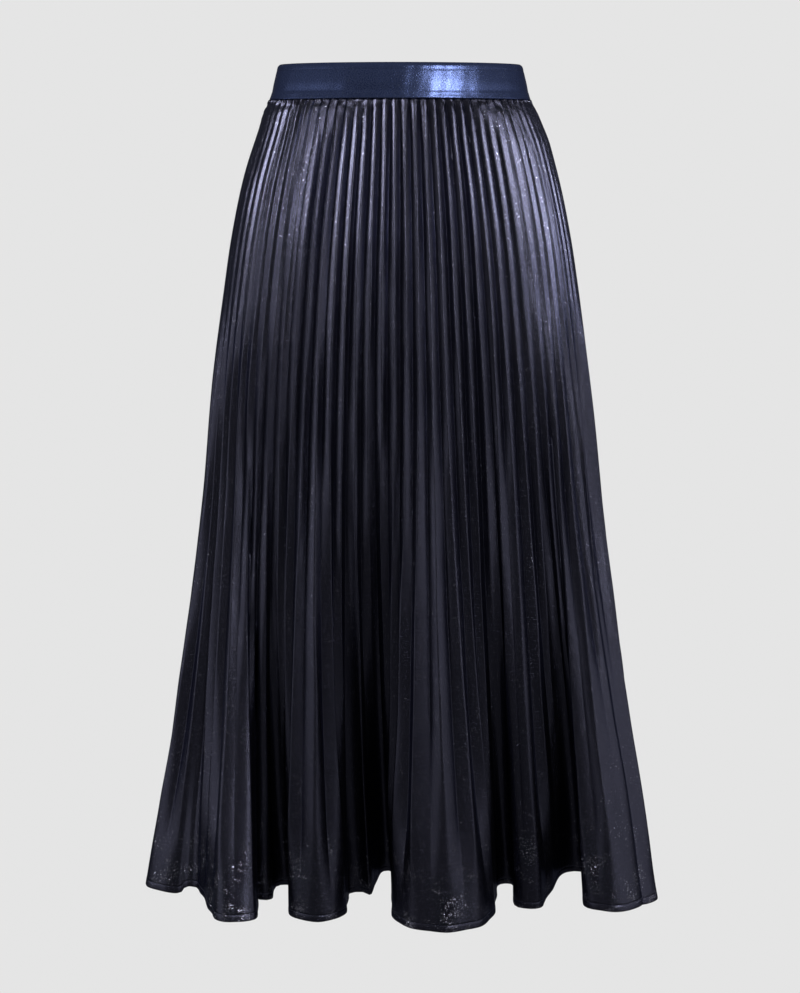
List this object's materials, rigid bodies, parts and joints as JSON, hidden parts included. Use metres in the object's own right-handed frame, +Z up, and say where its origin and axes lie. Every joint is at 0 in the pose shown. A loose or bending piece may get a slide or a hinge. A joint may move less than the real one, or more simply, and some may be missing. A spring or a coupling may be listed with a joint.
{
  "type": "pleated maxi skirt",
  "caption": "Hollow sunray-pleated skirt with a smooth waistband, round at the waist and hips, falling in soft organ-pipe folds to an open, flared hem.",
  "frame": {"origin": "centre of the waistband at half its height, where the wearer's waist holds the skirt", "axes": "+Z up along the wearer, -Y to the front of the skirt, +X to the wearer's left"},
  "size_m": [0.5731, 0.5169, 0.8896],
  "materials": {
    "waistband_satin": "smooth coated satin, mid navy blue with a metallic sheen",
    "pleated_satin": "pressed sunray pleats in coated satin, dark navy with a fine metallic sparkle"
  },
  "bodies": {
    "root": {"waistband_front": "waistband_satin", "waistband_back": "waistband_satin", "skirt_front_panel": "pleated_satin", "skirt_back_panel": "pleated_satin"}
  },
  "joints": []
}
